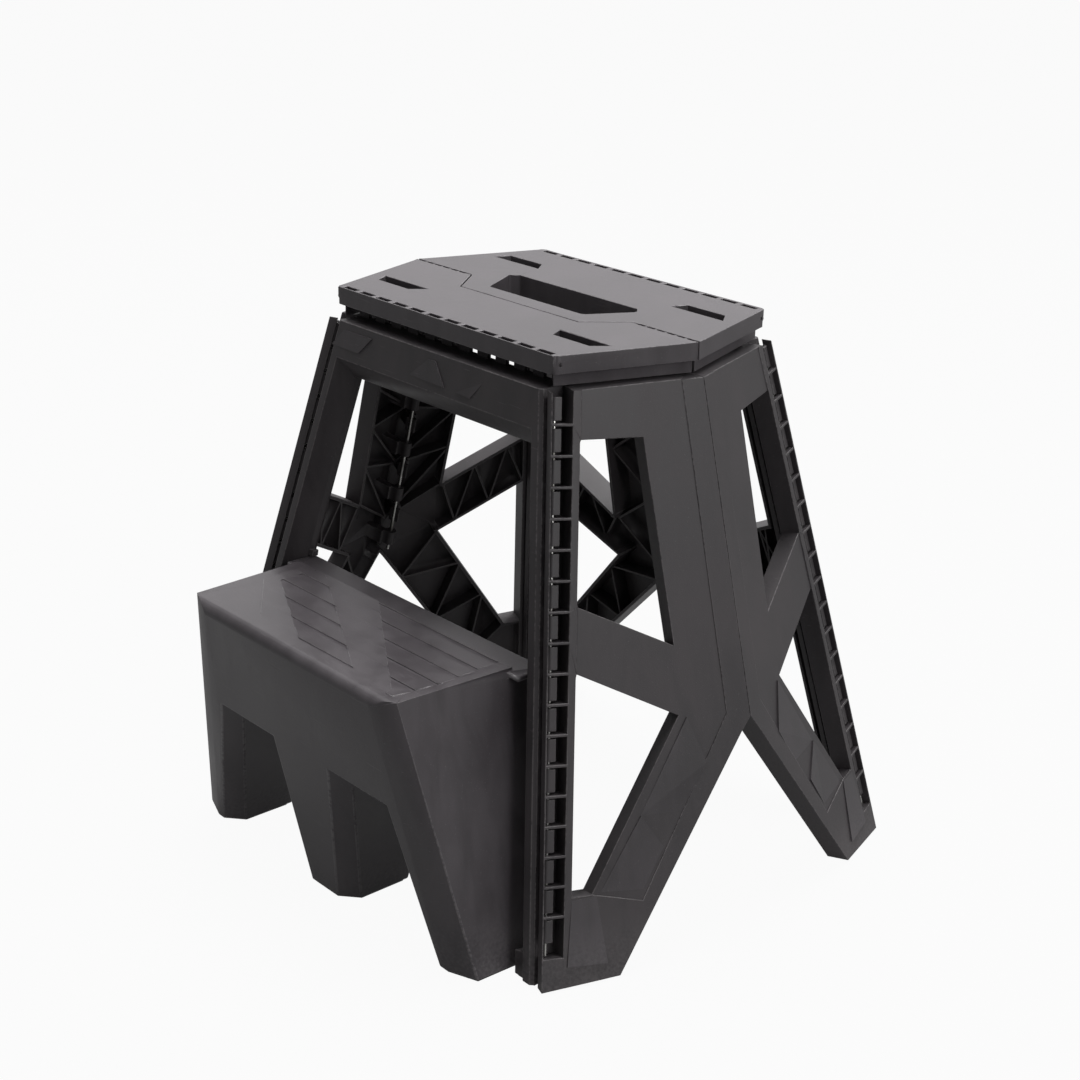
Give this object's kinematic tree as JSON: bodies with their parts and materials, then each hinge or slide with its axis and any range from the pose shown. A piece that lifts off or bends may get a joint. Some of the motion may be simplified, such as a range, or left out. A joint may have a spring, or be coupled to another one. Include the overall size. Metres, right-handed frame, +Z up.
{
  "type": "folding step stool",
  "caption": "Folding plastic stool with a hinged hexagonal seat, splayed hinged panels for legs, a handle hole and a lift-off front step.",
  "frame": {"origin": "middle of the outline at floor level, step included", "axes": "+X along the long edges of the seat, to the right for someone on the step; +Y away from the step; +Z up"},
  "size_m": [0.4288, 0.4024, 0.4],
  "materials": {
    "body_plastic": "satin, charcoal",
    "top_plastic": "satin, charcoal",
    "rod_steel": "plain drawn",
    "pad_rubber": "matte"
  },
  "bodies": {
    "front_frame": {"front_frame": "body_plastic", "front_frame_pads": "pad_rubber", "corner_rod_right_front": "rod_steel", "corner_rod_left_front": "rod_steel", "seat_edge_rod_front": "rod_steel"},
    "seat_front": {"seat_front": "top_plastic", "seat_centre_rods": "rod_steel"},
    "seat_back": {"seat_back": "top_plastic"},
    "back_frame": {"back_frame": "body_plastic", "back_frame_pads": "pad_rubber", "corner_rod_right_back": "rod_steel", "corner_rod_left_back": "rod_steel", "seat_edge_rod_back": "rod_steel"},
    "end_right_front": {"end_panel_right_front": "body_plastic", "right_front_pad": "pad_rubber", "ridge_rod_right": "rod_steel"},
    "end_left_front": {"end_panel_left_front": "body_plastic", "left_front_pad": "pad_rubber", "ridge_rod_left": "rod_steel"},
    "end_right_back": {"end_panel_right_back": "body_plastic", "right_back_pad": "pad_rubber"},
    "end_left_back": {"end_panel_left_back": "body_plastic", "left_back_pad": "pad_rubber"},
    "step": {"step": "top_plastic", "step_pads": "pad_rubber"}
  },
  "joints": [
    {"name": "seat_front_fold", "type": "hinge", "parent": "front_frame", "child": "seat_front", "pos_m": [0, -0.06303, 0.394], "axis": [1, 0, 0], "range_deg": [0, 79.83]},
    {"name": "seat_centre_fold", "type": "hinge", "parent": "seat_front", "child": "seat_back", "pos_m": [0, 0.03066, 0.377], "axis": [-1, 0, 0], "range_deg": [0, 180.01]},
    {"name": "seat_back_fold", "type": "hinge", "parent": "seat_back", "child": "back_frame", "pos_m": [0, 0.12435, 0.394], "axis": [1, 0, 0], "range_deg": [0, 79.83]},
    {"name": "right_front_corner", "type": "hinge", "parent": "front_frame", "child": "end_right_front", "pos_m": [0.19288, -0.13409, -0.00189], "axis": [0.2, -0.1731, -0.9644], "range_deg": [0, 70.06]},
    {"name": "right_back_corner", "type": "hinge", "parent": "back_frame", "child": "end_right_back", "pos_m": [0.19288, 0.1954, -0.00189], "axis": [-0.2, -0.1731, 0.9644], "range_deg": [0, 70.06]},
    {"name": "left_front_corner", "type": "hinge", "parent": "front_frame", "child": "end_left_front", "pos_m": [-0.19288, -0.13409, -0.00189], "axis": [0.2, 0.1731, 0.9644], "range_deg": [0, 70.06]},
    {"name": "left_back_corner", "type": "hinge", "parent": "back_frame", "child": "end_left_back", "pos_m": [-0.19288, 0.1954, -0.00189], "axis": [-0.2, 0.1731, -0.9644], "range_deg": [0, 70.06]},
    {"name": "step_pull_off", "type": "slide", "parent": "front_frame", "child": "step", "axis": [0, -1, 0], "range_m": [0, 0.12]}
  ],
  "couplings": [
    {"joint": "seat_centre_fold", "follows": "seat_front_fold", "ratio": 2.2549},
    {"joint": "seat_back_fold", "follows": "seat_front_fold", "ratio": 1},
    {"joint": "right_front_corner", "follows": "seat_front_fold", "ratio": 0.87763},
    {"joint": "right_back_corner", "follows": "seat_front_fold", "ratio": 0.87763},
    {"joint": "left_front_corner", "follows": "seat_front_fold", "ratio": 0.87763},
    {"joint": "left_back_corner", "follows": "seat_front_fold", "ratio": 0.87763}
  ]
}
